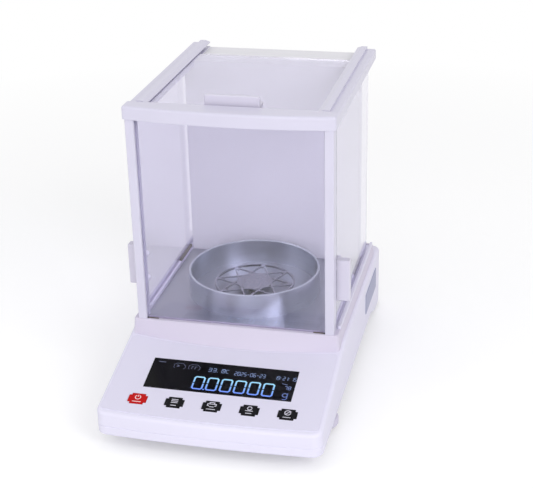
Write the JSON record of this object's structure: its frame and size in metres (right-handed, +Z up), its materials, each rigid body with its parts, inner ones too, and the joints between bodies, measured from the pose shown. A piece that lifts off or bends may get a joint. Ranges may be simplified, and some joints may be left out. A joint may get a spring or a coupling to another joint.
{
  "type": "semi-micro balance",
  "caption": "Semi-micro laboratory balance: sloping console with display and keys, sliding-door glass draft shield, star-shaped pan in a steel draft ring, levelling feet.",
  "frame": {"origin": "bottom centre of the bounding box, on the table the feet stand on", "axes": "+Z up; +Y from the console at the front to the rear; +X to the right, seen from the front"},
  "size_m": [0.217, 0.3496, 0.3037],
  "materials": {
    "body_plastic": "fine satin moulding",
    "deck_plastic": "fine satin moulding",
    "frame_paint": "smooth powder coat",
    "panel_paint": "smooth light grey paint",
    "floor_steel": "brushed stainless steel",
    "ring_metal": "brushed stainless steel",
    "pan_metal": "brushed stainless steel",
    "shield_glass": "clear polished glass",
    "handle_plastic": "satin moulding",
    "cap_plastic": "polished",
    "felt": "dense felt",
    "overlay_film": "matt printed film",
    "window_plastic": "polished smoked window",
    "key_black": "matt",
    "key_red": "matt",
    "board": "solder resist",
    "module": "display glass",
    "cell_alloy": "machined",
    "steel_dark": "machined",
    "copper": "lacquered winding",
    "screw_steel": "zinc plated",
    "socket_plastic": "moulded",
    "plate_film": "satin film",
    "bubble_plastic": "moulded",
    "rubber_foot": "moulded",
    "wheel_plastic": "moulded"
  },
  "bodies": {
    "base": {"lower_tray": "body_plastic", "upper_housing": "body_plastic", "deck_platform": "deck_plastic", "floor_plate": "floor_steel", "left_track": "body_plastic", "right_track": "body_plastic", "track_felts": "felt", "console_overlay": "overlay_film", "display_window": "window_plastic", "display_module": "module", "keypad_board": "board", "main_board": "board", "front_glass": "shield_glass", "left_front_post": "frame_paint", "right_front_post": "frame_paint", "left_rear_post": "frame_paint", "right_rear_post": "frame_paint", "front_bar": "frame_paint", "left_side_rail": "frame_paint", "right_side_rail": "frame_paint", "rear_top_plate": "panel_paint", "back_panel": "panel_paint", "cell_base": "cell_alloy", "parallel_guides": "cell_alloy", "magnet_pot": "steel_dark", "position_sensor": "socket_plastic", "overload_stop": "steel_dark", "cell_screws": "screw_steel", "level_bubble": "bubble_plastic", "supply_jack": "socket_plastic", "data_port": "socket_plastic", "side_plate": "plate_film", "rear_pads": "rubber_foot", "housing_screws": "screw_steel", "frame_screws": "screw_steel"},
    "left_door": {"left_door_glass": "shield_glass", "left_door_handle": "handle_plastic", "left_door_caps": "cap_plastic"},
    "right_door": {"right_door_glass": "shield_glass", "right_door_handle": "handle_plastic", "right_door_caps": "cap_plastic"},
    "top_door": {"top_door_glass": "shield_glass", "top_door_handle": "handle_plastic", "top_door_caps": "cap_plastic"},
    "carrier": {"pan_carrier": "cell_alloy"},
    "beam": {"balance_beam": "cell_alloy", "force_coil": "copper"},
    "pan": {"weighing_pan": "pan_metal"},
    "ring": {"draft_ring": "ring_metal"},
    "left_pad": {"left_foot_pad": "rubber_foot"},
    "right_pad": {"right_foot_pad": "rubber_foot"},
    "left_wheel": {"left_foot_wheel": "wheel_plastic"},
    "right_wheel": {"right_foot_wheel": "wheel_plastic"},
    "power_button": {"power_key": "key_red"},
    "menu_button": {"menu_key": "key_black"},
    "print_button": {"print_key": "key_black"},
    "count_button": {"count_key": "key_black"},
    "tare_button": {"tare_key": "key_black"}
  },
  "joints": [
    {"name": "left_door_slide", "type": "slide", "parent": "base", "child": "left_door", "axis": [0, 1, 0], "range_m": [0, 0.125]},
    {"name": "right_door_slide", "type": "slide", "parent": "base", "child": "right_door", "axis": [0, 1, 0], "range_m": [0, 0.125]},
    {"name": "top_door_slide", "type": "slide", "parent": "base", "child": "top_door", "axis": [0, 1, 0], "range_m": [0, 0.13]},
    {"name": "carrier_travel", "type": "slide", "parent": "base", "child": "carrier", "axis": [0, 0, 1], "range_m": [-0.0002, 0.0001], "stiffness_N_per_m": 40000},
    {"name": "beam_swing", "type": "hinge", "parent": "base", "child": "beam", "pos_m": [0, 0.0495, 0.047], "axis": [1, 0, 0], "range_deg": [-1.2, 1.2]},
    {"name": "pan_lift", "type": "slide", "parent": "carrier", "child": "pan", "axis": [0, 0, 1], "range_m": [0, 0.04]},
    {"name": "ring_lift", "type": "slide", "parent": "base", "child": "ring", "axis": [0, 0, 1], "range_m": [0, 0.04]},
    {"name": "left_foot_travel", "type": "slide", "parent": "base", "child": "left_pad", "axis": [0, 0, 1], "range_m": [-0.006, 0.001]},
    {"name": "left_wheel_turn", "type": "hinge", "parent": "left_pad", "child": "left_wheel", "pos_m": [-0.091, -0.0965, 0.009], "axis": [0, 0, 1], "range_deg": [-1730, 290]},
    {"name": "right_foot_travel", "type": "slide", "parent": "base", "child": "right_pad", "axis": [0, 0, 1], "range_m": [-0.006, 0.001]},
    {"name": "right_wheel_turn", "type": "hinge", "parent": "right_pad", "child": "right_wheel", "pos_m": [0.091, -0.0965, 0.009], "axis": [0, 0, 1], "range_deg": [-1730, 290]},
    {"name": "power_press", "type": "slide", "parent": "base", "child": "power_button", "axis": [0, 0.2289, -0.9735], "range_m": [0, 0.0005], "stiffness_N_per_m": 900, "springref_m": -0.0004},
    {"name": "menu_press", "type": "slide", "parent": "base", "child": "menu_button", "axis": [0, 0.2289, -0.9735], "range_m": [0, 0.0005], "stiffness_N_per_m": 900, "springref_m": -0.0004},
    {"name": "print_press", "type": "slide", "parent": "base", "child": "print_button", "axis": [0, 0.2289, -0.9735], "range_m": [0, 0.0005], "stiffness_N_per_m": 900, "springref_m": -0.0004},
    {"name": "count_press", "type": "slide", "parent": "base", "child": "count_button", "axis": [0, 0.2289, -0.9735], "range_m": [0, 0.0005], "stiffness_N_per_m": 900, "springref_m": -0.0004},
    {"name": "tare_press", "type": "slide", "parent": "base", "child": "tare_button", "axis": [0, 0.2289, -0.9735], "range_m": [0, 0.0005], "stiffness_N_per_m": 900, "springref_m": -0.0004}
  ],
  "couplings": [
    {"joint": "beam_swing", "follows": "carrier_travel", "rad_per_m": -66.667},
    {"joint": "left_wheel_turn", "follows": "left_foot_travel", "rad_per_m": 5026.5},
    {"joint": "right_wheel_turn", "follows": "right_foot_travel", "rad_per_m": 5026.5}
  ]
}
